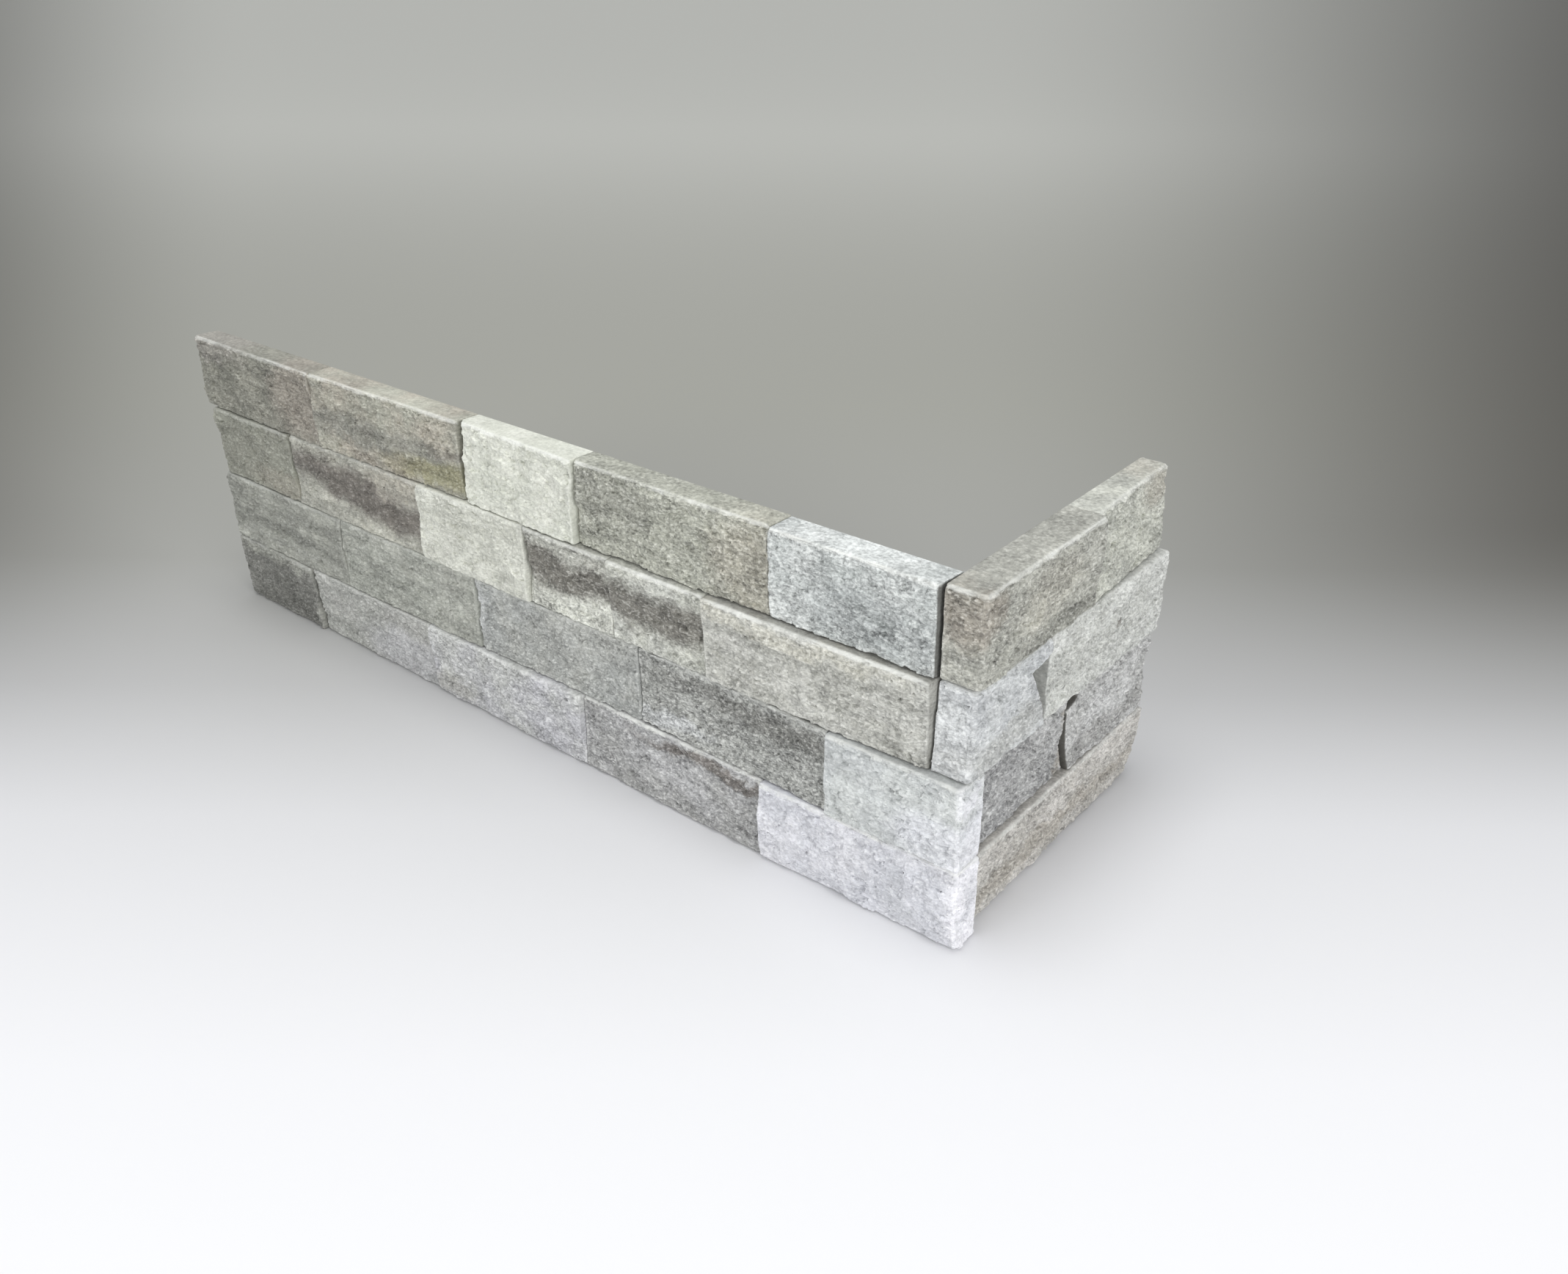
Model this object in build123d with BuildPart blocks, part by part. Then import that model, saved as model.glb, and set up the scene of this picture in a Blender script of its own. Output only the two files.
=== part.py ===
from build123d import *
import os
from dataclasses import dataclass
from random import Random

# A ledger stone veneer corner: four courses of split quartzite stones, glued edge to edge into an L
# that wraps the outside corner of a wall. Every stone has sawn beds, ends and back, and a riven face.
# The two lower corner stones run through along the long leg and the two upper ones along the short leg,
# so the legs interlock. All sizes are in millimetres.
#
# Frame: the origin is at the foot of the inner corner, where the two sawn backs meet, and +Z is up.
# The long leg runs along -X with its back on y = 0 and faces -Y. The short leg runs along +Y with its
# back on x = 0 and faces +X.

# Panel
course_height = 37.5
long_leg = 461.0
short_leg = 140.5
corner_gap = 1.2

# Riven faces, broken into flat facets
facet_width = 11.0
facet_height = 7.5
facet_play = 0.3  # share of a facet by which its corners wander
riven_relief = 0.9  # how far a corner of a facet stands out or in
arris_relief = 0.35  # the same along the bed arrises, which the saw keeps straighter
row_clearance = 3.0  # least height from a row of corners to a turn of a broken end

# Worn arrises
bed_arris = 0.8
joint_arris = 0.5
corner_arris = 1.4
chip_width = 3.0
chip_rest = 0.33  # share of a chip's depth that is left at the beds


@dataclass
class Stone:
    """One stone of a course. Depths are measured from the sawn back to the riven face."""

    name: str
    length: float | None  # from its joint nearer the corner; None runs on to the leg's free end
    foot: float  # depth at the bottom bed
    head: float  # depth at the top bed
    swing: float = 0.0  # depth gained along the stone, away from the corner
    belly: float = 0.0  # how far the face swells at half height
    gap: float = 0.0  # open joint on the corner side, measured at the face; the backs touch
    shy: float = 0.0  # how far its free end stops short of the leg's full length
    chip: float = 0.0  # depth broken off the far arris at half height
    end_foot: float | None = None  # depth of a corner stone's exposed end at the bottom bed
    end_head: float | None = None  # depth of a corner stone's exposed end at the top bed
    near_break: tuple = ()  # how far a broken near end falls back: pairs of height share and distance;
    # below nought it leans over the stone before it
    far_break: tuple = ()  # the same for the far end


# The stones of each course, from the corner outwards
base_long = [
    Stone("corner_base", 76.7, 14.6, 16.2, swing=1.6, belly=1.2, end_foot=17.4, end_head=16.4),
    Stone("long_base_1", 103.5, 14.8, 14.2, swing=-1.0),
    Stone("long_base_2", 107.0, 14.4, 16.6, belly=0.6),
    Stone("long_base_3", 99.5, 12.8, 15.6, swing=-1.0, chip=2.4),
    Stone("long_base_4", None, 13.6, 15.4, swing=-1.0, shy=4.5),
]
base_short = [
    Stone("short_base_1", None, 14.8, 18.0, swing=2.4, shy=3.5),
]
lower_long = [
    Stone("corner_lower", 44.2, 16.4, 17.4, swing=0.6, end_foot=16.2, end_head=15.4),
    Stone("long_lower_1", 100.5, 13.9, 14.4, swing=-2.0),
    Stone("long_lower_2", 104.0, 13.2, 14.6, swing=1.4, chip=1.8),
    Stone("long_lower_3", 104.0, 14.6, 14.4),
    Stone("long_lower_4", None, 14.8, 14.8, shy=4.0),
]
lower_short = [
    Stone("short_lower_1", 69.0, 13.9, 14.8, far_break=((0, 0), (0.4, 4.7), (1, 4.5))),
    Stone(
        "short_lower_2", None, 17.6, 16.6, swing=2.4, gap=1.0, shy=4.5,
        near_break=((0, 0), (0.4, -4.7), (0.79, -4.5), (0.88, 5.0), (1, 3.5)),
    ),
]
upper_long = [
    Stone("long_upper_1", 103.5, 15.0, 17.4, swing=1.4, gap=corner_gap),
    Stone("long_upper_2", 52.4, 14.4, 17.2, belly=-0.8),
    Stone("long_upper_3", 52.1, 14.8, 16.8, belly=-1.2, chip=2.0),
    Stone("long_upper_4", 73.5, 15.6, 15.8),
    Stone("long_upper_5", 104.0, 14.4, 14.2, chip=1.2),
    Stone("long_upper_6", None, 14.0, 15.8, shy=6.0),
]
upper_short = [
    Stone(
        "corner_upper", 41.0, 16.2, 15.8, swing=1.5, end_foot=13.2, end_head=11.8,
        far_break=((0, 0), (0.43, 6.5), (0.77, 15.0), (0.84, 0), (1, 0)),
    ),
    Stone("short_upper_1", None, 17.6, 17.4, swing=2.4),
]
top_long = [
    Stone("long_top_1", 72.8, 13.4, 15.2, gap=corner_gap),
    Stone("long_top_2", 102.7, 13.6, 14.0, belly=0.6, chip=2.2),
    Stone("long_top_3", 72.5, 15.2, 14.0, swing=-2.0, chip=7.5),
    Stone("long_top_4", 109.5, 13.6, 14.4, swing=1.0),
    Stone("long_top_5", None, 14.2, 14.8, swing=-0.6),
]
top_short = [
    Stone("corner_top", 73.0, 16.8, 17.0, swing=1.0, end_foot=11.8, end_head=13.4),
    Stone("short_top_1", None, 15.4, 13.2, swing=-1.8, shy=1.5),
]


def broken_back(profile, rise):
    """How far a broken end falls back at one share of the height."""
    if not profile:
        return 0
    if rise <= profile[0][0]:
        return profile[0][1]
    for (low, low_back), (high, high_back) in zip(profile, profile[1:]):
        if rise <= high:
            return low_back + (high_back - low_back) * (rise - low) / (high - low)
    return profile[-1][1]


def row_heights(stone):
    """The heights of the rows of facet corners, with a row at each turn of a broken end."""
    turns = {rise * course_height for rise, _ in stone.near_break + stone.far_break}
    rows = max(1, round(course_height / facet_height))
    inner = {course_height * row / rows for row in range(1, rows)}
    inner = {row for row in inner if all(abs(row - turn) > row_clearance for turn in turns)}
    return sorted({0, course_height} | inner | turns)


def facet_corners(length, relief, level, chance):
    """A row of facet corners: the share of the face where each lies, its lift and how far it stands out."""
    corners = [(0, 0, chance.uniform(-relief, relief))]
    for facet in range(1, max(1, round(length / facet_width))):
        along_play = chance.uniform(-facet_play, facet_play) * facet_width
        lift = 0 if level else chance.uniform(-facet_play, facet_play) * facet_height
        share = (facet_width * facet + along_play) / length
        corners.append((share, lift, chance.uniform(-relief, relief)))
    corners.append((1, 0, chance.uniform(-relief, relief)))
    return corners


def stone_ring(stone, near, far, height, setback, corners, end_corners):
    """The closed ring of a stone's corners in one row: along the leg, out from the back, and up."""
    rise = height / course_height
    swell = 4 * rise * (1 - rise)
    near_arris = near_width = joint_arris
    if stone.end_foot is not None:
        near = -(stone.end_foot + (stone.end_head - stone.end_foot) * rise) + setback
        near_arris = near_width = corner_arris
    far_arris = far_width = joint_arris
    if stone.length is None:
        far = far - setback
        far_arris = far_width = bed_arris
    if stone.chip:
        far_arris = joint_arris + stone.chip * (chip_rest + (1 - chip_rest) * swell)
        far_width = chip_width
    lean = broken_back(stone.near_break, rise)
    near_back = near + min(lean, 0) - stone.gap
    near = near + lean
    far = far - broken_back(stone.far_break, rise)

    def face_depth(along):
        share = (along - near) / (far - near) - 0.5
        depth = stone.foot + (stone.head - stone.foot) * rise + stone.swing * share + stone.belly * swell
        return depth - setback

    first = near + near_width
    last = far - far_width
    face = []
    for share, lift, relief in corners:
        along = first + (last - first) * share
        face.append((along, face_depth(along) + relief, height + lift))
    edge = face[0][1] - near_arris
    end = [(near - relief, edge * share, height + lift) for share, lift, relief in end_corners]
    near_end = [(near_back, 0, height)] + end + [(near, edge, height)]
    far_end = [(far, face[-1][1] - far_arris, height), (far, 0, height)]
    return near_end + face + far_end


def stone_rings(stone, near, far, chance):
    """The rings of a stone from bed to bed. On each bed the ring is set back by the worn arris."""
    rings = []
    for height in row_heights(stone):
        on_bed = height in (0, course_height)
        relief = arris_relief if on_bed else riven_relief
        level = on_bed or stone.near_break or stone.far_break
        corners = facet_corners(far - near, relief, level, chance)
        end_corners = []
        if stone.end_foot is not None:
            end_corners = facet_corners(stone.foot, relief, level, chance)[1:-1]
        worn = [(height, 0)]
        if height == 0:
            worn = [(height, bed_arris), (bed_arris, 0)]
        if height == course_height:
            worn = [(height - bed_arris, 0), (height, bed_arris)]
        for ring_height, setback in worn:
            rings.append(stone_ring(stone, near, far, ring_height, setback, corners, end_corners))
    return rings


def build_stone(leg, stone, near, far, bed):
    """One stone, closed by its two beds and by flat facets from each ring to the next."""

    def flat(*corners):
        places = [(-x, -y, bed + z) if leg == "long" else (y, x, bed + z) for x, y, z in corners]
        return Face(Wire.make_polygon(places))

    rings = stone_rings(stone, near, far, Random(stone.name))
    skin = [flat(*rings[0]), flat(*rings[-1])]
    for row, (lower, upper) in enumerate(zip(rings, rings[1:])):
        for i in range(len(lower)):
            a, b, c, d = lower[i - 1], lower[i], upper[i], upper[i - 1]
            halves = [(a, b, c), (a, c, d)] if (row + i) % 2 else [(a, b, d), (b, c, d)]
            skin.extend(flat(*half) for half in halves)
    block = Solid(Shell(skin))
    with BuildPart() as solid:
        add(block)
    solid.part.label = stone.name
    return solid.part


def lay_course(leg, stones, bed, leg_length):
    """Lays the stones of one leg of a course from the corner outwards, and writes each to its file."""
    near = 0
    for stone in stones:
        near = near + stone.gap
        far = leg_length - stone.shy if stone.length is None else near + stone.length
        export_step(build_stone(leg, stone, near, far, bed), f"parts/{stone.name}.step")
        near = far


os.makedirs("parts", exist_ok=True)
courses = [
    (base_long, base_short),
    (lower_long, lower_short),
    (upper_long, upper_short),
    (top_long, top_short),
]
for level, (long_stones, short_stones) in enumerate(courses):
    lay_course("long", long_stones, level * course_height, long_leg)
    lay_course("short", short_stones, level * course_height, short_leg)
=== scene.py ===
# %% [markdown]
# # A ledger stone veneer corner
# Four courses of split quartzite, glued into an L that wraps the outside corner of a wall. The blocks come from the
# CAD frame at their real size, with the large facets of their split faces. This lesson gives each block the rest of
# what a saw and a hammer leave on real stone: small flakes and grit, bruised arrises, dark joints with grime and
# painted shade in them, and the colours of its bed in the quarry.

# %% Load the frame
import math

import bmesh
import bpy
from mathutils import Euler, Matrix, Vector


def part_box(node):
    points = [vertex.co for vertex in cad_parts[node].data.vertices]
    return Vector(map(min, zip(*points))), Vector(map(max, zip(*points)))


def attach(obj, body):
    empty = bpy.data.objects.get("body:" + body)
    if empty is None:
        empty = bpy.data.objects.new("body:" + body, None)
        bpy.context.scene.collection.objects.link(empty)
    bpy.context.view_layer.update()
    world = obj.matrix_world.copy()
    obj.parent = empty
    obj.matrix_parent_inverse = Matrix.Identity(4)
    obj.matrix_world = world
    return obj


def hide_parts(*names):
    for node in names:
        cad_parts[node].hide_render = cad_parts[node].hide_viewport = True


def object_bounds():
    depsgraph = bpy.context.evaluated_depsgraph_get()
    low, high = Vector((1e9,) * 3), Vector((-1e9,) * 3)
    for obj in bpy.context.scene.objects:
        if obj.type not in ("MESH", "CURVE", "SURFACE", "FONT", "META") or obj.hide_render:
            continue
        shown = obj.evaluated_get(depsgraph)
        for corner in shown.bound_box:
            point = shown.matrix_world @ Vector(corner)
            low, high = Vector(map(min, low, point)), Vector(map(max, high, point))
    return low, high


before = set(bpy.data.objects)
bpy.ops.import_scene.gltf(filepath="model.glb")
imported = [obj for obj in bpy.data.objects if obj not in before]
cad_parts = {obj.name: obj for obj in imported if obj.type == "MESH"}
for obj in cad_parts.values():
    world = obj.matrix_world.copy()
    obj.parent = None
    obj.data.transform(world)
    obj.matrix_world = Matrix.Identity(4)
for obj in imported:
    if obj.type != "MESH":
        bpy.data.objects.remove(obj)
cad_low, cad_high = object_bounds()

print("stones:", len(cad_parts), "CAD box:", tuple(cad_low), tuple(cad_high))

# %% [markdown]
# ## The camera
# The photograph was taken with a short lens, close to the stone, looking down on the corner. A camera with the same
# lens at the same place gives the same steep perspective, so its place is written out and no helper frames the view.

# %% Camera
PHOTO_WIDTH = 2137
FOCAL_PIXELS = 1722.7
SENSOR_WIDTH = 36.0
CAMERA_PLACE = Vector((0.1872, -0.3387, 0.3345))
CAMERA_TURN = Euler((math.radians(61.11), math.radians(-0.55), math.radians(38.26)))
CLIP_NEAR = 0.01
CLIP_FAR = 100.0

camera_data = bpy.data.cameras.new("photo_camera")
camera_data.sensor_width = SENSOR_WIDTH
camera_data.lens = FOCAL_PIXELS / PHOTO_WIDTH * SENSOR_WIDTH
camera_data.clip_start = CLIP_NEAR
camera_data.clip_end = CLIP_FAR
camera = bpy.data.objects.new("photo_camera", camera_data)
camera.location = CAMERA_PLACE
camera.rotation_euler = CAMERA_TURN
bpy.context.scene.collection.objects.link(camera)
bpy.context.scene.camera = camera
bpy.context.scene.view_settings.view_transform = "Standard"
print("lens:", round(camera_data.lens, 2), "mm")


# %% [markdown]
# ## A short way to write node trees
# Shaders and Geometry Nodes are both trees of nodes joined by sockets. A small class with one method for each
# common step keeps a tree readable as arithmetic: a value given as a socket is linked, any other value is set.

# %% Node helper
class Net:
    """Adds nodes to a tree and joins them."""

    def __init__(self, tree):
        self.tree = tree

    def put(self, socket, value):
        """Links a socket to the given socket, or sets its value."""
        if isinstance(value, bpy.types.NodeSocket):
            self.tree.links.new(value, socket)
        else:
            socket.default_value = value

    def node(self, kind, inputs=None, **settings):
        made = self.tree.nodes.new(kind)
        for key, value in settings.items():
            setattr(made, key, value)
        for key, value in (inputs or {}).items():
            if isinstance(key, int):
                self.put(made.inputs[key], value)
            else:
                self.put(next(s for s in made.inputs if s.name == key and s.enabled), value)
        return made

    def math(self, operation, *values):
        return self.node("ShaderNodeMath", dict(enumerate(values)), operation=operation).outputs[0]

    def product(self, first, *others):
        for other in others:
            first = self.math("MULTIPLY", first, other)
        return first

    def around_nought(self, value):
        """A value that runs from 0 to 1, moved to run from -0.5 to 0.5."""
        return self.math("SUBTRACT", value, 0.5)

    def vector(self, operation, *values):
        made = self.node("ShaderNodeVectorMath", operation=operation)
        for socket, value in zip([s for s in made.inputs if s.enabled], values):
            self.put(socket, value)
        return next(s for s in made.outputs if s.enabled)

    def scaled(self, direction, size):
        made = self.node("ShaderNodeVectorMath", {0: direction, 3: size}, operation="SCALE")
        return made.outputs[0]

    def split(self, direction):
        return self.node("ShaderNodeSeparateXYZ", {0: direction}).outputs

    def step(self, value, low, high, to_low=0.0, to_high=1.0):
        """A smooth step from to_low to to_high as the value goes from low to high."""
        made = self.node("ShaderNodeMapRange", interpolation_type="SMOOTHSTEP")
        for socket, given in zip(made.inputs, (value, low, high, to_low, to_high)):
            self.put(socket, given)
        return made.outputs[0]

    def noise(self, place, scale, detail=2.0, seed=0.0, roughness=0.5):
        inputs = {"Vector": place, "W": seed, "Scale": scale, "Detail": detail, "Roughness": roughness}
        return self.node("ShaderNodeTexNoise", inputs, noise_dimensions="4D")

    def grains(self, place, scale):
        return self.node("ShaderNodeTexVoronoi", {"Vector": place, "Scale": scale}, feature="F1")

    def mixed(self, share, first, second):
        """Mixes two numbers."""
        return self.node("ShaderNodeMix", {0: share, 2: first, 3: second}, data_type="FLOAT").outputs[0]

    def blend(self, share, first, second):
        """Mixes two colours."""
        made = self.node("ShaderNodeMix", data_type="RGBA")
        for socket, value in zip([s for s in made.inputs if s.enabled], (share, first, second)):
            self.put(socket, value)
        return next(s for s in made.outputs if s.enabled)


CENTRE = (0.5, 0.5, 0.5)  # the middle of a noise's or a cell's random colour
print("node helper ready")

# %% [markdown]
# ## The stage
# A flat floor painted with the light of a studio sweep: painted light, white close to the camera, and painted shade,
# falling away to grey behind the stone and at the sides. A real sweep would stand in the way of a camera that goes
# round the stone, so here it is one flat floor, and its colour follows the distance from where the photograph was
# taken. Behind that place, where the lamps stand, it is grey, so that it doesn't glare in a view from the back.

# %% Floor tones
FLOOR_REACH = 30.0
FLOOR_LEVEL = -0.0002
FLOOR_ROUGHNESS = 0.8
FORWARD = Vector((-0.615, 0.788, 0.0))
SIDEWAYS = Vector((0.788, 0.615, 0.0))

# Each stop: metres ahead of the camera, tone, and how much of the tone its blue keeps. The tones are painted light
# and painted shade: white in front, dark round and behind the stone.
FLOOR_SHADE_STOPS = [
    (0.05, 0.89, 1.0), (0.30, 0.83, 1.02), (0.44, 0.71, 1.02),
    (0.55, 0.53, 1.0), (0.70, 0.39, 0.94), (1.0, 0.40, 0.90),
]
FAR_TONE = (0.76, 0.76, 0.76 * 0.93, 1)
FAR_REACH = (0.9, 2.8)
UNSEEN_TONE = (0.45, 0.45, 0.45, 1)
UNSEEN_REACH = (0.15, -0.4)

# The shade at the sides starts behind the stone and follows the angle from the line of sight, which is the distance
# aside over the depth. The depth of a point of the floor is a share of its distance ahead and a share of the drop.
SHADE_TONE = (0.07, 0.065, 0.055, 1)
SHADE_SHARE = 0.95
SHADE_RIGHT = (0.12, 0.75)
SHADE_LEFT = (-0.42, -0.75, 0.0, 0.8)
SHADE_BEHIND = (0.42, 0.78)
DEPTH_AHEAD = 0.875
DEPTH_DROP = 0.16


def floor_colour(net):
    place = net.node("ShaderNodeTexCoord").outputs["Object"]
    from_camera = net.vector("SUBTRACT", place, CAMERA_PLACE)
    ahead = net.vector("DOT_PRODUCT", from_camera, FORWARD)
    aside = net.vector("DOT_PRODUCT", from_camera, SIDEWAYS)
    # Painted light and shade: the ramp runs from a white pool in front to a dark band of painted shade behind the
    # stone.
    ramp = net.node("ShaderNodeValToRGB", {"Fac": ahead})
    stops = ramp.color_ramp.elements
    while len(stops) < len(FLOOR_SHADE_STOPS):
        stops.new(0.5)
    for stop, (distance, level, blue) in zip(stops, FLOOR_SHADE_STOPS):
        stop.position = distance
        stop.color = (level, level, level * blue, 1)
    colour = net.blend(net.step(ahead, *FAR_REACH), ramp.outputs["Color"], FAR_TONE)
    angle = net.math("DIVIDE", aside, net.math("MULTIPLY_ADD", ahead, DEPTH_AHEAD, DEPTH_DROP))
    shade = net.math("MAXIMUM", net.step(angle, *SHADE_RIGHT), net.step(angle, *SHADE_LEFT))
    shade = net.product(shade, net.step(ahead, *SHADE_BEHIND), SHADE_SHARE)
    colour = net.blend(shade, colour, SHADE_TONE)
    return net.blend(net.step(ahead, *UNSEEN_REACH), colour, UNSEEN_TONE)


print("floor stops:", len(FLOOR_SHADE_STOPS))

# %% Floor
floor_finish = bpy.data.materials.new("studio_floor")
floor_finish.use_nodes = True
floor_shader = floor_finish.node_tree.nodes["Principled BSDF"]
floor_shader.inputs["Roughness"].default_value = FLOOR_ROUGHNESS
floor_net = Net(floor_finish.node_tree)
floor_net.put(floor_shader.inputs["Base Color"], floor_colour(floor_net))

floor_mesh = bpy.data.meshes.new("studio_floor")
corners = [(x * FLOOR_REACH, y * FLOOR_REACH, FLOOR_LEVEL) for x, y in ((-1, -1), (1, -1), (1, 1), (-1, 1))]
floor_mesh.from_pydata(corners, [], [(0, 1, 2, 3)])
floor = bpy.data.objects.new("studio_floor", floor_mesh)
floor.data.materials.append(floor_finish)
bpy.context.scene.collection.objects.link(floor)
print("floor:", 2 * FLOOR_REACH, "m wide")

# %% [markdown]
# ## The light
# The stone was lit softly from above, with no hard shadow anywhere. One wide lamp hangs overhead, one stands in front
# of the long leg, and one on the right in front of the short leg. An even sky fills the joints just enough to keep
# them dark but readable. Point lamps or a sun would draw hard edges, while round lamps of this width blur them.

# %% Lamps
STONE_CENTRE = Vector((-0.15, 0.0, 0.06))
SKY_TONE = (0.97, 0.985, 1.0, 1.0)
SKY_STRENGTH = 0.60

# Each lamp: its name, place, width and power.
LAMPS = [
    ("overhead_lamp", (-0.15, -0.1, 1.5), 0.7, 8.0),
    ("front_lamp", (-0.2, -1.5, 0.5), 0.8, 7.0),
    ("right_lamp", (1.25, -0.45, 0.42), 0.7, 8.5),
]

for name, place, width, power in LAMPS:
    lamp_data = bpy.data.lights.new(name, "AREA")
    lamp_data.shape = "DISK"
    lamp_data.size = width
    lamp_data.energy = power
    lamp = bpy.data.objects.new(name, lamp_data)
    lamp.location = place
    lamp.rotation_euler = (STONE_CENTRE - Vector(place)).to_track_quat("-Z", "Y").to_euler()
    bpy.context.scene.collection.objects.link(lamp)

world = bpy.data.worlds.new("studio_sky")
world.use_nodes = True
world.node_tree.nodes["Background"].inputs["Color"].default_value = SKY_TONE
world.node_tree.nodes["Background"].inputs["Strength"].default_value = SKY_STRENGTH
bpy.context.scene.world = world
print("lamps:", len(LAMPS))


# %% [markdown]
# ## Quartzite
# Quartzite is sand that was fused into rock: every grain is a small crystal with a tone of its own, so the stone is
# salt and pepper seen close to. Beds of other minerals cross it as soft bands and patches, rust, olive, lilac. A
# picture of stone could be wrapped round each block, but it would stretch on some sides and repeat on others, so
# the colours are worked out from where a point lies in the stone, and run on round its arrises like a real bed.
#
# Each stone is described by its ground and cloud colours, by how strong its dark specks (pepper), white crystals
# (salt), streaks and joint grime with painted joint shade are, and by its marks. Marks are placed in shares of the
# stone: along runs from 0 at the corner to 1 at the far end, rise from 0 at the bottom bed to 1 at the top. A rise
# over 1 marks the bed on top.

# %% Colours of the beds
def tone(red, green, blue):
    """A colour for the shader from an eye's sRGB tone of 0 to 255."""
    linear = [((c / 255 + 0.055) / 1.055) ** 2.4 for c in (red, green, blue)]
    return (*linear, 1.0)


def mark(colour, along, rise, half_along, half_rise, share, slope=0.0):
    """A patch or band of another bed: its colour, centre, half sizes, strength, and rise along the stone."""
    return {"colour": colour, "along": along, "rise": rise, "half_along": half_along,
            "half_rise": half_rise, "share": share, "slope": slope}


WHITE = tone(218, 219, 209)
LILAC_WHITE = tone(218, 219, 224)
PALE = tone(186, 187, 180)
PALE_LILAC = tone(184, 184, 187)
GREY = tone(164, 165, 156)
COOL_GREY = tone(164, 166, 163)
DARK_GREY = tone(134, 134, 126)
CHARCOAL = tone(98, 97, 92)
DARK_BAND = tone(110, 107, 100)
BEIGE = tone(184, 181, 170)
PINK_BEIGE = tone(170, 164, 152)
OLIVE = tone(142, 139, 106)
UMBER = tone(110, 106, 98)
PLUM = tone(112, 107, 101)
RUST = tone(152, 144, 130)
print("a white bed:", tuple(round(c, 3) for c in WHITE))

# %% [markdown]
# ### The top course
# The course that catches most light. A white stone and a blue-grey one lie among beige and grey ones. Their top beds
# show too, and some are paler or greyer than the face below them.

# %% Top course
TOP_COURSE = {
    "long_top_5": dict(
        ground=tone(126, 126, 117), cloud=tone(146, 145, 135), pepper=0.85, salt=0.12, streak=0.7,
        marks=[mark(tone(158, 151, 141), 0.1, 0.55, 0.25, 0.6, 0.7),
               mark(tone(156, 152, 146), 0.85, 0.95, 0.3, 0.25, 0.6)]),
    "long_top_4": dict(
        ground=PINK_BEIGE, cloud=tone(166, 166, 154), salt=0.18, streak=0.9, grime_and_shade=0.3,
        marks=[mark(tone(138, 138, 130), 0.6, 0.42, 0.7, 0.18, 0.8),
               mark(OLIVE, 0.1, 0.2, 0.4, 0.2, 0.7),
               mark(UMBER, 0.06, 0.5, 0.25, 0.06, 0.6)]),
    "long_top_3": dict(
        ground=WHITE, cloud=tone(206, 208, 197), pepper=0.5, streak=0.1,
        marks=[mark(tone(196, 198, 186), 0.5, 1.12, 1.2, 0.16, 0.6)]),
    "long_top_2": dict(
        ground=tone(162, 163, 152), cloud=tone(174, 175, 164), pepper=1.2,
        marks=[mark(tone(166, 160, 147), 0.08, 0.4, 0.22, 0.6, 0.5),
               mark(tone(140, 140, 132), 0.85, 0.7, 0.3, 0.3, 0.5)]),
    "long_top_1": dict(
        ground=tone(198, 201, 199), cloud=tone(182, 186, 184), pepper=1.2, grime_and_shade=0.8,
        marks=[mark(tone(150, 154, 154), 0.35, 0.4, 0.5, 0.35, 0.5),
               mark(tone(224, 227, 225), 0.5, 1.12, 1.2, 0.16, 0.7)]),
    "corner_top": dict(
        ground=tone(163, 163, 155), cloud=tone(174, 174, 166), pepper=1.1, streak=0.8,
        marks=[mark(tone(150, 142, 131), 0.05, 0.75, 0.12, 0.3, 0.65),
               mark(BEIGE, 0.55, 0.55, 0.3, 0.3, 0.5),
               mark(DARK_GREY, 0.7, 0.12, 0.35, 0.12, 0.7),
               mark(tone(148, 148, 141), 0.45, 1.12, 0.9, 0.16, 0.6)]),
    "short_top_1": dict(
        ground=tone(176, 177, 169), cloud=tone(196, 197, 187), pepper=1.0,
        marks=[mark(PINK_BEIGE, 0.85, 0.85, 0.25, 0.25, 0.5)]),
}
print("top course:", len(TOP_COURSE))

# %% [markdown]
# ### The upper course
# Here the quarry's beds show best: a plum band slants across one stone, and a dark band runs on from one stone into
# the next, as if both were split from the same slab.

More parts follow.
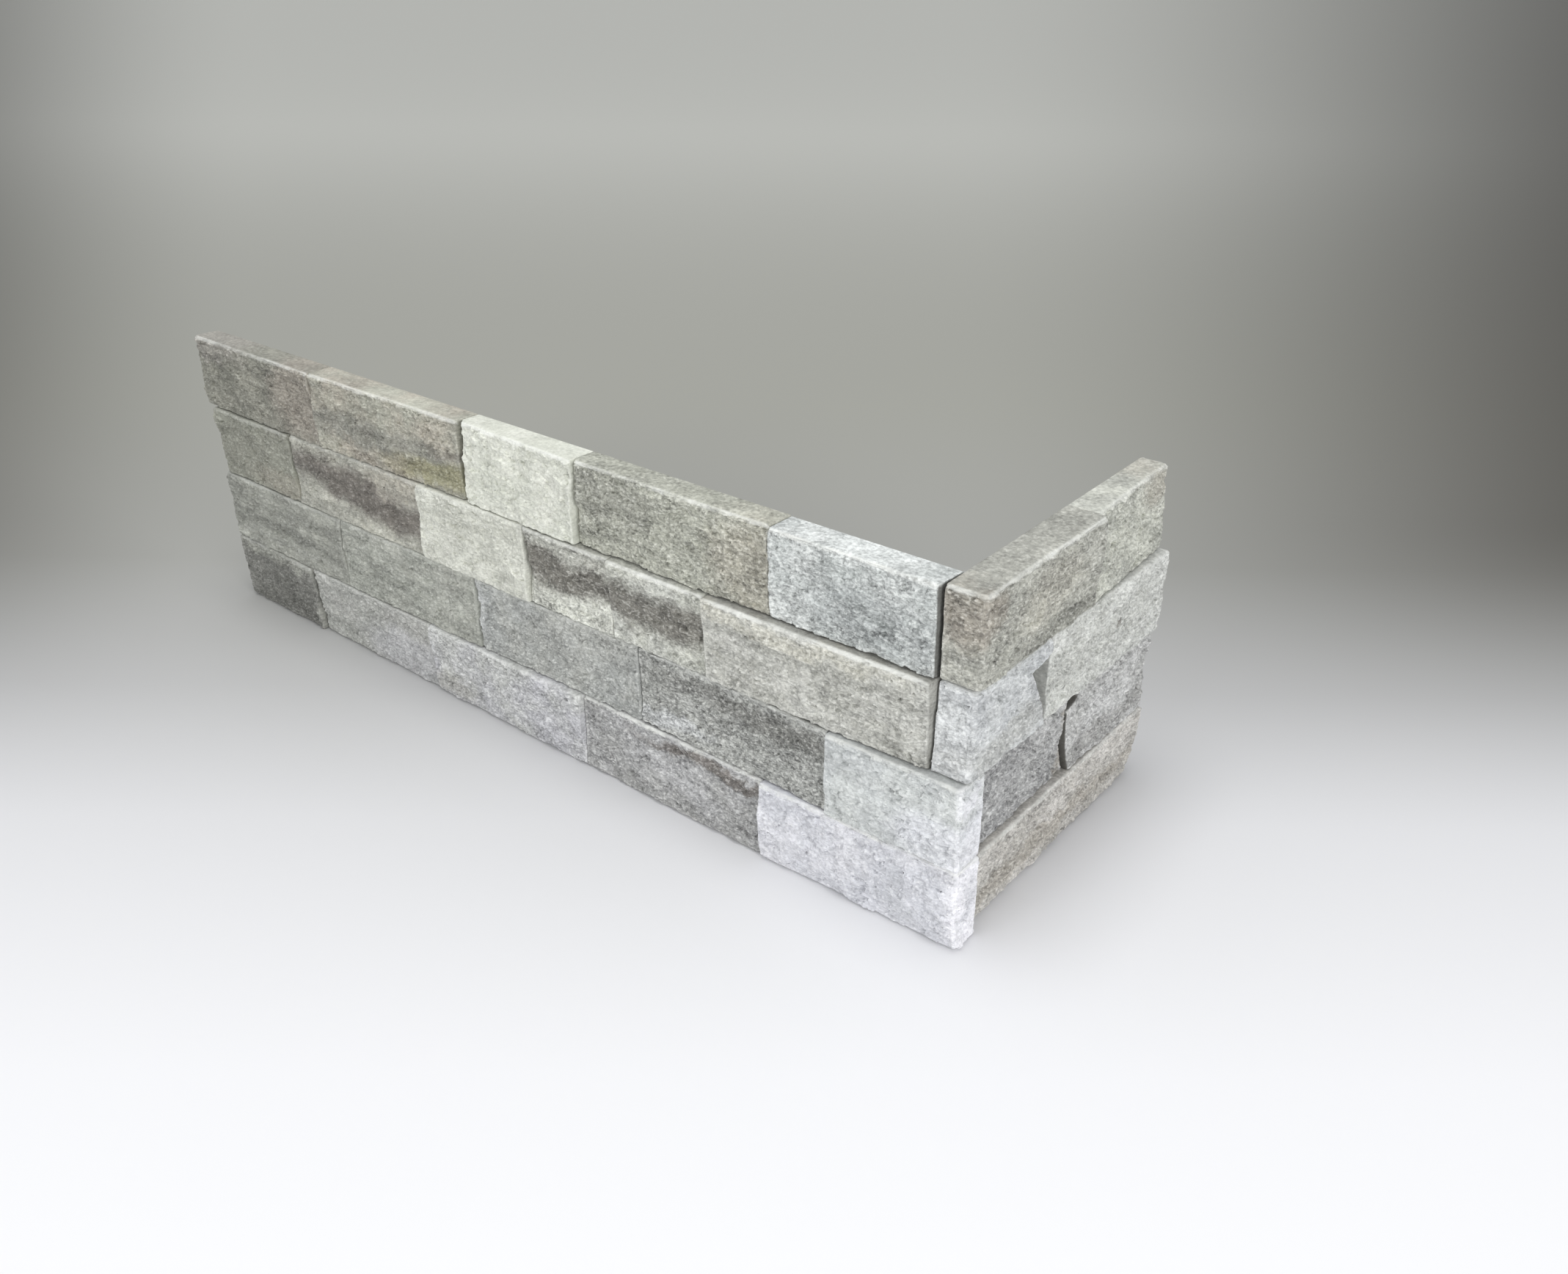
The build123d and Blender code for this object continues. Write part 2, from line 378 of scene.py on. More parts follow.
# %% Upper course
UPPER_COURSE = {
    "long_upper_6": dict(
        ground=tone(150, 151, 140), cloud=tone(141, 141, 131), pepper=0.6, salt=0.15,
        marks=[mark(PINK_BEIGE, 0.2, 0.2, 0.4, 0.25, 0.4)]),
    "long_upper_5": dict(
        ground=tone(182, 181, 170), cloud=tone(172, 172, 163), pepper=0.65, salt=0.15, streak=0.8,
        marks=[mark(PLUM, 0.45, 0.40, 0.75, 0.30, 0.9, slope=0.3),
               mark(PINK_BEIGE, 0.15, 0.85, 0.3, 0.2, 0.5)]),
    "long_upper_4": dict(
        ground=tone(211, 212, 202), cloud=tone(195, 196, 186), pepper=0.6, streak=0.1),
    "long_upper_3": dict(
        ground=tone(208, 209, 200), cloud=tone(198, 199, 190), pepper=1.1, streak=0.7, grime_and_shade=0.2,
        marks=[mark(tone(158, 158, 150), 0.5, 0.98, 1.3, 0.18, 0.6),
               mark(DARK_BAND, 0.6, 0.57, 1.1, 0.27, 0.9)]),
    "long_upper_2": dict(
        ground=tone(192, 193, 184), cloud=PALE, pepper=1.1, streak=0.7, grime_and_shade=0.2,
        marks=[mark(DARK_BAND, 0.55, 0.54, 1.2, 0.27, 0.85)]),
    "long_upper_1": dict(
        ground=tone(187, 187, 181), cloud=tone(179, 179, 172), pepper=0.9, streak=0.5, grime_and_shade=0.42,
        marks=[mark(tone(196, 194, 182), 0.7, 0.88, 0.6, 0.12, 0.6),
               mark(tone(150, 150, 143), 0.6, 0.7, 0.6, 0.07, 0.5)]),
    "corner_upper": dict(
        ground=tone(203, 205, 205), cloud=tone(181, 183, 185), pepper=0.8, grime_and_shade=0.4,
        marks=[mark(tone(172, 172, 168), 0.5, 0.2, 0.6, 0.22, 0.6)]),
    "short_upper_1": dict(
        ground=tone(204, 205, 201), cloud=tone(194, 195, 190), pepper=0.9, grime_and_shade=0.15,
        marks=[mark(tone(120, 112, 102), 0.55, 0.6, 0.03, 0.06, 0.6)]),
}
print("upper course:", len(UPPER_COURSE))

# %% [markdown]
# ### The lower course
# Greys of one family, from streaky at the far end to nearly black specks near the corner, and a white corner stone.
# The broken joint on the short leg is dark with grime and painted shade.

# %% Lower course
LOWER_COURSE = {
    "long_lower_4": dict(
        ground=tone(156, 157, 149), cloud=tone(146, 147, 140), pepper=0.55, salt=0.15, streak=1.0,
        marks=[mark(tone(124, 125, 119), 0.6, 0.42, 0.6, 0.1, 0.6),
               mark(tone(176, 177, 170), 0.6, 0.2, 0.7, 0.07, 0.5)]),
    "long_lower_3": dict(
        ground=tone(160, 162, 154), cloud=tone(171, 172, 164), pepper=0.65, salt=0.2, streak=0.8),
    "long_lower_2": dict(
        ground=COOL_GREY, cloud=tone(172, 173, 168), pepper=0.9,
        marks=[mark(tone(208, 210, 210), 0.97, 0.5, 0.06, 0.45, 0.6)]),
    "long_lower_1": dict(
        ground=tone(166, 167, 163), cloud=tone(148, 149, 145), pepper=1.5, salt=0.35, grime_and_shade=0.4,
        marks=[mark(tone(200, 202, 203), 0.85, 0.16, 0.25, 0.14, 0.6),
               mark(CHARCOAL, 0.35, 0.75, 0.6, 0.15, 0.5)]),
    "corner_lower": dict(
        ground=tone(202, 205, 203), cloud=tone(186, 189, 189), pepper=0.55, grime_and_shade=0.25,
        marks=[mark(LILAC_WHITE, 0.15, 0.25, 0.35, 0.35, 0.7),
               mark(tone(226, 226, 230), -0.06, 0.5, 0.1, 1.0, 0.8)]),
    "short_lower_1": dict(
        ground=tone(172, 172, 171), cloud=tone(152, 152, 152), pepper=1.2,
        marks=[mark(RUST, 0.97, 0.4, 0.06, 0.6, 0.5)]),
    "short_lower_2": dict(
        ground=tone(194, 194, 193), cloud=tone(174, 174, 172), pepper=1.15, grime_and_shade=0.9,
        marks=[mark(tone(140, 139, 136), 0.5, 0.2, 0.7, 0.18, 0.6)]),
}
print("lower course:", len(LOWER_COURSE))

# %% [markdown]
# ### The base course
# The darkest stone of all stands at the far end and the whitest at the corner, where its arris is nearly pure white.
# A dark brown line runs along the top of the stone beside it.

# %% Base course
BASE_COURSE = {
    "long_base_4": dict(
        ground=tone(133, 133, 128), cloud=tone(113, 113, 108), pepper=0.8, salt=0.12, streak=0.6,
        marks=[mark(GREY, 0.5, 0.95, 0.7, 0.12, 0.6),
               mark(tone(168, 168, 161), -0.02, 0.5, 0.04, 0.9, 0.7)]),
    "long_base_3": dict(
        ground=tone(166, 167, 162), cloud=tone(172, 172, 168), pepper=0.7,
        marks=[mark(PALE_LILAC, 0.2, 0.3, 0.4, 0.4, 0.6)]),
    "long_base_2": dict(
        ground=tone(193, 194, 191), cloud=tone(183, 183, 186), pepper=1.0,
        marks=[mark(tone(166, 164, 150), 0.88, 0.2, 0.2, 0.2, 0.4)]),
    "long_base_1": dict(
        ground=tone(170, 170, 170), cloud=tone(158, 158, 156), pepper=1.1, streak=0.6,
        marks=[mark(tone(106, 100, 94), 0.2, 0.84, 0.5, 0.1, 0.8)]),
    "corner_base": dict(
        ground=tone(218, 218, 222), cloud=tone(200, 201, 206), pepper=0.5, streak=0.1,
        marks=[mark(tone(188, 190, 194), 0.28, 0.3, 0.05, 0.5, 0.5),
               mark(tone(240, 239, 243), -0.06, 0.5, 0.1, 1.0, 0.9)]),
    "short_base_1": dict(
        ground=tone(194, 191, 186), cloud=tone(178, 175, 169), pepper=1.0, streak=0.6,
        marks=[mark(tone(158, 152, 142), 0.45, 0.3, 0.7, 0.18, 0.6, slope=0.1)]),
}
STONES = {**TOP_COURSE, **UPPER_COURSE, **LOWER_COURSE, **BASE_COURSE}
NUMBERS = {node: float(number) for number, node in enumerate(sorted(STONES))}
print("base course:", len(BASE_COURSE), "all stones:", len(STONES))


# %% [markdown]
# ### Beds and patches
# The broad colours of a stone: clouds of its two tones, and its marks on top. A mark is an ellipse in shares of the
# stone. A plain ellipse would look painted on, so its edges are bent by noise before the distance is taken.

# %% Colours of one stone
WARP = dict(scale=60.0, detail=5.0, roughness=0.65)
WARP_ALONG = 0.32
WARP_RISE = 0.64
CLOUDS = dict(scale=45.0, detail=4.0)
CLOUD_SEED = 5.0
CLOUD_EDGE = (0.35, 0.65)
MARK_EDGE = (0.5, 1.3)


def on_long_leg(node):
    low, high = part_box(node)
    return high.x - low.x > high.y - low.y


def stone_shares(net, place, node):
    """Where a point lies on its stone, as shares of its length and its height."""
    low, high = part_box(node)
    x, y, z = net.split(place)
    run, near, far = (x, high.x, low.x) if on_long_leg(node) else (y, low.y, high.y)
    along = net.node("ShaderNodeMapRange", {0: run, 1: near, 2: far}, clamp=False).outputs[0]
    rise = net.node("ShaderNodeMapRange", {0: z, 1: low.z, 2: high.z}, clamp=False).outputs[0]
    return along, rise


def bed_colour(net, place, node, seed, ground, cloud, marks):
    along, rise = stone_shares(net, place, node)
    warp = net.noise(place, seed=seed, **WARP)
    bend_along, bend_rise, _ = net.split(net.vector("SUBTRACT", warp.outputs["Color"], CENTRE))
    along = net.math("MULTIPLY_ADD", bend_along, WARP_ALONG, along)
    rise = net.math("MULTIPLY_ADD", bend_rise, WARP_RISE, rise)
    clouds = net.noise(place, seed=seed + CLOUD_SEED, **CLOUDS).outputs[0]
    colour = net.blend(net.step(clouds, *CLOUD_EDGE), ground, cloud)
    for patch in marks:
        off_along = net.math("DIVIDE", net.math("SUBTRACT", along, patch["along"]), patch["half_along"])
        centre = net.math("MULTIPLY_ADD", along, patch["slope"], patch["rise"])
        off_rise = net.math("DIVIDE", net.math("SUBTRACT", rise, centre), patch["half_rise"])
        reach = net.math("ADD", net.product(off_along, off_along), net.product(off_rise, off_rise))
        share = net.step(net.math("SQRT", reach), *MARK_EDGE, patch["share"], 0.0)
        colour = net.blend(share, colour, patch["colour"])
    return colour


print("bed colours ready")

# %% [markdown]
# ### The quartzite shader
# One function makes the shader for any stone. Over the bed's colours come grains of two sizes, mottles, and streaks
# along the bed, as a change of level, then white crystals, the grime and painted shade in the joints and the white
# bruise along the arrises. The shape stores where the stone is riven, bruised or in a joint on the mesh, as
# attributes. The grains also drive the bump and the gloss: some crystals catch the light. On sawn faces all of this
# is weaker.

# %% Grain
GRAIN_SCALE = 950.0
GRAIN_SQUASH = (0.6, 0.6, 1.15)
STREAK_SQUASH = (0.10, 0.10, 1.0)
SUGAR = dict(scale=900.0, detail=4.0, roughness=0.7)
MOTTLE = dict(scale=150.0, detail=4.0, roughness=0.6)
STREAK = dict(scale=260.0, detail=4.0, roughness=0.6)
SUGAR_SEED, MOTTLE_SEED, STREAK_SEED = 2.0, 9.0, 7.0
SUGAR_SHARE, GRAIN_SHARE, MOTTLE_SHARE, STREAK_SHARE = 2.6, 0.36, 1.3, 1.6
LEVEL = 1.09
LEAST_LEVEL = 0.35


def grain_values(net, place, seed):
    """The sugar of fine crystals, and the tone and the gloss of each larger one."""
    grain = net.grains(place, GRAIN_SCALE)
    grain_tone, grain_gloss, _ = net.node("ShaderNodeSeparateColor", {0: grain.outputs["Color"]}).outputs
    drawn = net.vector("MULTIPLY", place, GRAIN_SQUASH)
    sugar = net.noise(drawn, seed=seed + SUGAR_SEED, **SUGAR).outputs[0]
    return sugar, grain_tone, grain_gloss


def grain_level(net, place, seed, sugar, grain_tone, pepper, streak):
    """How light or dark the grain makes the bed's colour."""
    drawn = net.vector("MULTIPLY", place, GRAIN_SQUASH)
    mottle = net.noise(drawn, seed=seed + MOTTLE_SEED, **MOTTLE).outputs[0]
    flat = net.vector("MULTIPLY", place, STREAK_SQUASH)
    bed = net.noise(flat, seed=seed + STREAK_SEED, **STREAK).outputs[0]
    speck = net.product(net.around_nought(sugar), SUGAR_SHARE)
    speck = net.math("MULTIPLY_ADD", net.around_nought(grain_tone), GRAIN_SHARE, speck)
    speck = net.math("MULTIPLY_ADD", net.around_nought(mottle), MOTTLE_SHARE, speck)
    level = net.math("MULTIPLY_ADD", net.around_nought(bed), STREAK_SHARE * streak, net.product(speck, pepper))
    return net.math("MAXIMUM", net.math("ADD", level, LEVEL), LEAST_LEVEL)


print("grain ready")

# %% Quartzite material
COLOUR_SEED_STEP = 1.37
SAWN_BUMP = 0.4
SAWN_FLECK = 0.7
SALT = tone(232, 232, 228)
SALT_GRAIN = 0.16
SALT_EDGE = (0.62, 0.74)
# Joint colour: grime, and painted shade where the joints lie in shadow.
GRIME_AND_SHADE = tone(68, 65, 58)
BRUISE = tone(236, 237, 232)
BRUISE_SHARE = 0.85
GLOSS = (0.88, 1.0, 0.85, 0.45)
BUMP_GRAIN = 0.25
BUMP_SUGAR = 1.5
BUMP_HEIGHT = 0.0007
BUMP_STRENGTH = 0.9


def quartzite(node, ground, cloud, pepper=0.8, salt=0.30, streak=0.4, grime_and_shade=0.05, marks=()):
    material = bpy.data.materials.new("quartzite_" + node)
    material.use_nodes = True
    net = Net(material.node_tree)
    shader = material.node_tree.nodes["Principled BSDF"]
    place = net.node("ShaderNodeTexCoord").outputs["Object"]
    riven, bruise, joint = (
        net.node("ShaderNodeAttribute", attribute_name=name).outputs["Fac"] for name in ("riven", "bruise", "joint"))
    roughened = net.math("MULTIPLY_ADD", riven, 1.0 - SAWN_BUMP, SAWN_BUMP)
    flecked = net.math("MULTIPLY_ADD", riven, 1.0 - SAWN_FLECK, SAWN_FLECK)
    seed = NUMBERS[node] * COLOUR_SEED_STEP

    colour = bed_colour(net, place, node, seed, ground, cloud, marks)
    sugar, grain_tone, grain_gloss = grain_values(net, place, seed)
    level = grain_level(net, place, seed, sugar, grain_tone, net.product(flecked, pepper), streak)
    colour = net.scaled(colour, level)
    crystals = net.step(net.math("MULTIPLY_ADD", grain_tone, SALT_GRAIN, sugar), *SALT_EDGE)
    colour = net.blend(net.product(crystals, roughened, salt), colour, SALT)
    # Painted shade and grime: sawn faces in a joint are darkened towards the joint colour.
    colour = net.blend(net.product(joint, grime_and_shade), colour, GRIME_AND_SHADE)
    colour = net.blend(net.product(bruise, BRUISE_SHARE), colour, BRUISE)
    net.put(shader.inputs["Base Color"], colour)

    net.put(shader.inputs["Roughness"], net.step(grain_gloss, *GLOSS))
    relief = net.math("MULTIPLY_ADD", grain_tone, BUMP_GRAIN, net.product(sugar, BUMP_SUGAR))
    strength = net.product(roughened, BUMP_STRENGTH)
    bump = net.node("ShaderNodeBump", {"Strength": strength, "Distance": BUMP_HEIGHT, "Height": relief})
    net.put(shader.inputs["Normal"], bump.outputs["Normal"])
    return material


print("quartzite shader ready")

# %% [markdown]
# ## Riven stone
# A split face isn't a noise: the hammer breaks it into tilted flakes. The solid has the large facets already. The
# small flakes could be sculpted by hand, but not 28 times alike, so they come from a Voronoi texture, each cell of
# which is tilted by its own random colour. A Geometry Nodes tree works on the block after a voxel remesh has given
# it an even mesh. Its inputs are the sizes that differ from stone to stone.

# %% Inputs of the tree
RIVEN_INPUTS = [
    ("Geometry", "NodeSocketGeometry", None),
    ("Face", "NodeSocketVector", (0, -1, 0)),
    ("Other Face", "NodeSocketVector", (0, 0, 0)),
    ("Back", "NodeSocketVector", (0, 1, 0)),
    ("Flake", "NodeSocketFloat", 0.5),
    ("Grit", "NodeSocketFloat", 0.0030),
    ("Saw Play", "NodeSocketFloat", 0.00002),
    ("Under Gap", "NodeSocketFloat", 0.0002),
    ("Top Wear", "NodeSocketFloat", 0.6),
    ("Under Wear", "NodeSocketFloat", 0.25),
    ("Joint Wear", "NodeSocketFloat", 0.05),
    ("Bruise", "NodeSocketFloat", 0.3),
    ("Seed", "NodeSocketFloat", 0.0),
    ("Low", "NodeSocketVector", tuple(cad_low)),
    ("High", "NodeSocketVector", tuple(cad_high)),
    ("Finish", "NodeSocketMaterial", None),
]
print("inputs of the riven stone tree:", len(RIVEN_INPUTS))

# %% [markdown]
# ### Worn arrises
# Arrises are the sharp edges of a stone, and the first thing to wear. A bevel would round them evenly, but real ones
# are knocked off here and there. Blurring the positions draws every point towards its neighbours, which hardly moves
# any but those where the block turns a corner. How far each arris follows depends on which one it is and on noise.

# %% Arrises
WEAR_STEPS = 10
KNOCKS = dict(scale=85.0, detail=4.0, roughness=0.6)
KNOCK_WEAR = (0.36, 0.68, 0.3, 2.0)
KNOCK_BRUISE = (0.34, 0.6, 0.3, 1.0)
FROM_FACE = (-0.2, -0.55)
AT_TOP = (-0.25, -0.6)
AT_FOOT = (0.25, 0.6)
WORN_DEPTH = (0.00002, 0.00012)
BRUISE_DEPTH = (0.00005, 0.0003)
EDGE_DEPTH = (0.00004, 0.0004)
TOP_BRUISE, OTHER_BRUISE = 0.9, 0.1


def worn_arrises(net, given, place):
    """Where each point lies once the arrises are worn, how bruised it is, and whether it is by an arris."""
    drawn_in = net.node("GeometryNodeBlurAttribute", {"Value": place, "Iterations": WEAR_STEPS},
                        data_type="FLOAT_VECTOR")
    inward = net.vector("SUBTRACT", next(s for s in drawn_in.outputs if s.enabled), place)
    depth = net.vector("LENGTH", inward)
    heading = net.vector("NORMALIZE", inward)
    upright = net.split(heading)["Z"]
    from_face = net.math("MINIMUM", net.vector("DOT_PRODUCT", heading, given["Face"]),
                         net.vector("DOT_PRODUCT", heading, given["Other Face"]))
    in_front = net.product(net.step(from_face, *FROM_FACE), net.step(depth, *WORN_DEPTH))
    at_top = net.step(upright, *AT_TOP)
    wear = net.mixed(at_top, given["Joint Wear"], given["Top Wear"])
    wear = net.mixed(net.step(upright, *AT_FOOT), wear, given["Under Wear"])
    knocks = net.noise(place, seed=given["Seed"], **KNOCKS).outputs[0]
    wear = net.product(wear, net.step(knocks, *KNOCK_WEAR), in_front)
    worn_place = net.vector("ADD", place, net.scaled(inward, wear))
    bruise = net.product(net.step(depth, *BRUISE_DEPTH), net.step(knocks, *KNOCK_BRUISE))
    bruise = net.product(bruise, in_front, given["Bruise"])
    bruise = net.product(bruise, net.math("MULTIPLY_ADD", at_top, TOP_BRUISE, OTHER_BRUISE))
    edge = net.product(net.step(depth, *EDGE_DEPTH), in_front)
    return worn_place, bruise, edge


print("arrises ready")

# %% [markdown]
# ### Split and sawn faces
# The faces that look out of the wall were split, and so were the free ends of the short leg. All others were sawn.
# Sawn faces that lie in a joint are painted darker, as grime and as the shade that falls in a joint, so the tree
# tells them from the back and from the bed on top.

# %% Face kinds and relief
SPLIT_FACING = (0.3, 0.8)
BACK_FACING = (0.8, 0.5)
DOWN_FACING = (0.3, 0.8)
BELOW_TOP = (0.0005, 0.0015)
BED_SQUASH = (0.6, 0.6, 1.15)
JITTER = dict(scale=160.0, detail=3.0)
JITTER_SIZE = (0.006, 0.006, 0.006)
FLAKES = ((130.0, 0.4), (300.0, 1.1))  # how many cells to a metre, and how steep
GRIT = dict(scale=400.0, detail=3.0, roughness=0.65)
SET_BACK = -0.0003
EDGE_CALM = -0.7


def face_kinds(net, given, place, normal):
    """Which faces were split, and which sawn ones lie in a joint."""
    ahead = net.vector("DOT_PRODUCT", normal, given["Face"])
    aside = net.vector("DOT_PRODUCT", normal, given["Other Face"])
    riven = net.step(net.math("MAXIMUM", ahead, aside), *SPLIT_FACING)
    off_back = net.step(net.vector("DOT_PRODUCT", normal, given["Back"]), *BACK_FACING)
    from_top = net.split(net.vector("SUBTRACT", given["High"], place))["Z"]
    below_top = net.step(from_top, *BELOW_TOP)
    # This mask is where the material paints grime and shade into the joints.
    joint = net.product(net.math("SUBTRACT", 1.0, riven), net.product(off_back, below_top))
    return riven, joint


def split_relief(net, given, place, by_edge):
    """How far a split face stands out: flakes of two sizes and grit, drawn out along the bed, calmer by an arris."""
    along_bed = net.vector("MULTIPLY", place, BED_SQUASH)
    jitter = net.noise(along_bed, seed=given["Seed"], **JITTER).outputs["Color"]
    bent = net.vector("MULTIPLY_ADD", jitter, JITTER_SIZE, along_bed)
    relief = SET_BACK
    for scale, steepness in FLAKES:
        cells = net.grains(bent, scale)
        from_centre = net.vector("SUBTRACT", bent, cells.outputs["Position"])
        lean = net.vector("SUBTRACT", cells.outputs["Color"], CENTRE)
        flake = net.product(net.vector("DOT_PRODUCT", from_centre, lean), steepness)
        relief = net.math("MULTIPLY_ADD", flake, given["Flake"], relief)
    grit = net.around_nought(net.noise(along_bed, seed=given["Seed"], **GRIT).outputs[0])
    relief = net.math("MULTIPLY_ADD", grit, given["Grit"], relief)
    return net.product(relief, net.math("MULTIPLY_ADD", by_edge, EDGE_CALM, 1.0))


def sawn_relief(net, given, normal):
    """How far a sawn face stands back: a hair, and a little more under the stone."""
    down = net.product(net.split(normal)["Z"], -1.0)
    back = net.math("MULTIPLY_ADD", net.step(down, *DOWN_FACING), given["Under Gap"], given["Saw Play"])
    return net.product(back, -1.0)


print("face kinds and relief ready")


# %% [markdown]
# ### The tree
# The steps in their order: note where the arrises are, wear them, note which faces of the worn block are split, and
# move those by the relief. What is noted is stored as an attribute, because a face that was moved no longer faces
# the same way. Last, every point is kept inside the box of the whole CAD frame.

# %% Riven stone tree
def stored(net, skin, **values):
    """Stores numbers on the mesh under their names."""
    for name, value in values.items():
        inputs = {"Geometry": skin, "Name": name, "Value": value}
        skin = net.node("GeometryNodeStoreNamedAttribute", inputs, data_type="FLOAT").outputs[0]
    return skin


def noted(net, name):
    return net.node("GeometryNodeInputNamedAttribute", {"Name": name}, data_type="FLOAT").outputs[0]


def riven_tree():
    tree = bpy.data.node_groups.new("riven_stone", "GeometryNodeTree")
    for name, kind, value in RIVEN_INPUTS:
        socket = tree.interface.new_socket(name, in_out="INPUT", socket_type=kind)
        if value is not None:
            socket.default_value = value
    tree.interface.new_socket("Geometry", in_out="OUTPUT", socket_type="NodeSocketGeometry")
    net = Net(tree)
    given = net.node("NodeGroupInput").outputs
    place = net.node("GeometryNodeInputPosition").outputs[0]
    normal = net.node("GeometryNodeInputNormal").outputs[0]

    worn_place, bruise, edge = worn_arrises(net, given, place)
    skin = stored(net, given["Geometry"], bruise=bruise, edge=edge)
    skin = net.node("GeometryNodeSetPosition", {"Geometry": skin, "Position": worn_place}).outputs[0]
    riven, joint = face_kinds(net, given, place, normal)
    skin = stored(net, skin, riven=riven, joint=joint)

    relief = split_relief(net, given, place, noted(net, "edge"))
    travel = net.mixed(noted(net, "riven"), sawn_relief(net, given, normal), relief)
    moved = net.vector("ADD", place, net.scaled(normal, travel))
    inside = net.vector("MAXIMUM", net.vector("MINIMUM", moved, given["High"]), given["Low"])
    broken = net.node("GeometryNodeSetPosition", {"Geometry": skin, "Position": inside})
    smooth = net.node("GeometryNodeSetShadeSmooth", {0: broken.outputs[0], "Shade Smooth": True})
    real = net.node("GeometryNodeRealizeInstances", {0: smooth.outputs[0]})
    finish = net.node("GeometryNodeSetMaterial", {0: real.outputs[0], "Material": given["Finish"]})
    net.put(net.node("NodeGroupOutput").inputs[0], finish.outputs[0])
    return tree


RIVEN = riven_tree()
INPUTS = {item.name: item.identifier for item in RIVEN.interface.items_tree if item.in_out == "INPUT"}
print("riven stone tree:", len(RIVEN.nodes), "nodes")

# %% [markdown]
# ## What is special to each stone
# The stones weren't handled alike. Those on top have their upper arris worn round and bruised white. Some stand a
# hair off the stone below or beside them, which shows as a dark joint. The whitest ones have shallower grit. Stones
# that aren't named here, and sizes that aren't given, keep the tree's own values.

# %% Sizes of single stones
SHAPES = {
    "long_top_1": {"Top Wear": 1.5, "Joint Wear": 0.6, "Saw Play": 0.0004, "Under Gap": 0.0005, "Bruise": 1.0},
    "long_top_2": {"Top Wear": 1.2, "Joint Wear": 0.4, "Under Gap": 0.0006, "Bruise": 0.9},
    "long_top_3": {"Top Wear": 0.9, "Under Gap": 0.0006, "Bruise": 0.8, "Grit": 0.0022},
    "long_top_4": {"Top Wear": 0.9, "Under Gap": 0.0004, "Bruise": 0.6},
    "long_top_5": {"Top Wear": 0.9, "Under Gap": 0.0004, "Bruise": 0.6},
    "corner_top": {"Top Wear": 0.9, "Joint Wear": 0.3, "Bruise": 0.7},
    "short_top_1": {"Top Wear": 0.8, "Bruise": 0.5, "Flake": 0.55},
    "long_upper_1": {"Top Wear": 1.1, "Under Gap": 0.0004, "Bruise": 0.9},
    "long_upper_2": {"Top Wear": 1.0, "Under Gap": 0.0005, "Bruise": 0.9},
    "long_upper_3": {"Under Gap": 0.0005, "Bruise": 0.6},
    "long_upper_4": {"Grit": 0.0022},
    "long_upper_6": {"Under Gap": 0.0005},
    "corner_upper": {"Joint Wear": 0.3},
    "short_upper_1": {"Flake": 0.55},
    "long_lower_1": {"Top Wear": 0.9, "Saw Play": 0.0003, "Under Gap": 0.0004, "Bruise": 0.7},
    "long_lower_2": {"Under Gap": 0.0004},
    "corner_lower": {"Top Wear": 1.0, "Joint Wear": 0.3, "Under Gap": 0.0004, "Bruise": 0.8, "Grit": 0.0024,
                     "Flake": 0.6},
    "short_lower_1": {"Flake": 0.55},
    "short_lower_2": {"Flake": 0.55},
    "long_base_1": {"Top Wear": 1.0, "Under Wear": 0.8, "Bruise": 1.0},
    "long_base_2": {"Under Wear": 0.8},
    "long_base_3": {"Under Wear": 0.8},
    "long_base_4": {"Under Wear": 0.8},
    "corner_base": {"Top Wear": 0.8, "Joint Wear": 0.3, "Under Wear": 0.6, "Bruise": 0.8, "Grit": 0.0022,
                    "Flake": 0.6},
    "short_base_1": {"Bruise": 0.6, "Under Wear": 0.8},
}
print("stones with sizes of their own:", len(SHAPES))

# %% [markdown]
# ## Breaking the stones
# Each block is copied from the frame, its loose triangles are merged, and the tree is applied. A decimation then
# joins the many small faces on the flat sawn sides, where they show nothing, and keeps those of the broken face.
# The result is baked to a plain mesh that replaces its CAD node. Corner stones are split on two sides, because
# their end shows too, and the stones at the free end of the short leg are rough there. Edges that turn more than a
# little stay sharp, which gives the broken face its crystalline look.

